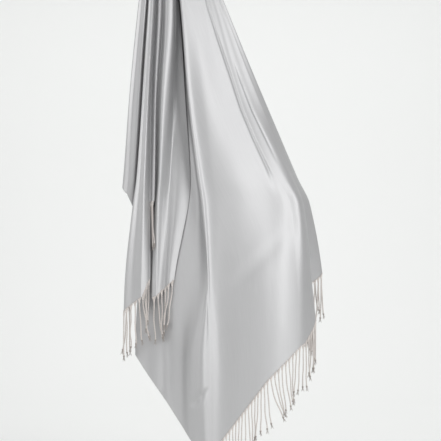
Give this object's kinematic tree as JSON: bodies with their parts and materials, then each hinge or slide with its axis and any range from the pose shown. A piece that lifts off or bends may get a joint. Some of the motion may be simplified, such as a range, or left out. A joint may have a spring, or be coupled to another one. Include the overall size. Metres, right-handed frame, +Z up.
{
  "type": "hijab shawl",
  "caption": "Plain satin shawl with twisted, knotted fringe on both short ends, gathered and hung from one point so that it falls in soft folds.",
  "frame": {"origin": "the point at which the shawl is held, at the top of its gathered selvedge", "axes": "+Z up along the hang, -Y out of the front folds towards the viewer, +X towards the side where the long tail swings out (the viewer's right)"},
  "size_m": [0.3973, 0.1628, 1.2416],
  "materials": {
    "satin_cloth": "silver-grey satin weave with a soft sheen",
    "fringe_yarn": "twisted grey yarn, ends knotted and slightly frayed"
  },
  "bodies": {
    "root": {"gathered_head": "satin_cloth", "front_fall": "satin_cloth", "right_return": "satin_cloth", "outer_fall": "satin_cloth", "tail_fall": "satin_cloth", "rear_fall": "satin_cloth", "left_pleat": "satin_cloth", "narrow_pleat": "satin_cloth", "inner_fall": "satin_cloth", "front_fringe": "fringe_yarn", "return_fringe": "fringe_yarn", "outer_fringe": "fringe_yarn", "tail_fringe": "fringe_yarn", "left_fringe": "fringe_yarn", "narrow_fringe": "fringe_yarn", "inner_fringe": "fringe_yarn"}
  },
  "joints": []
}
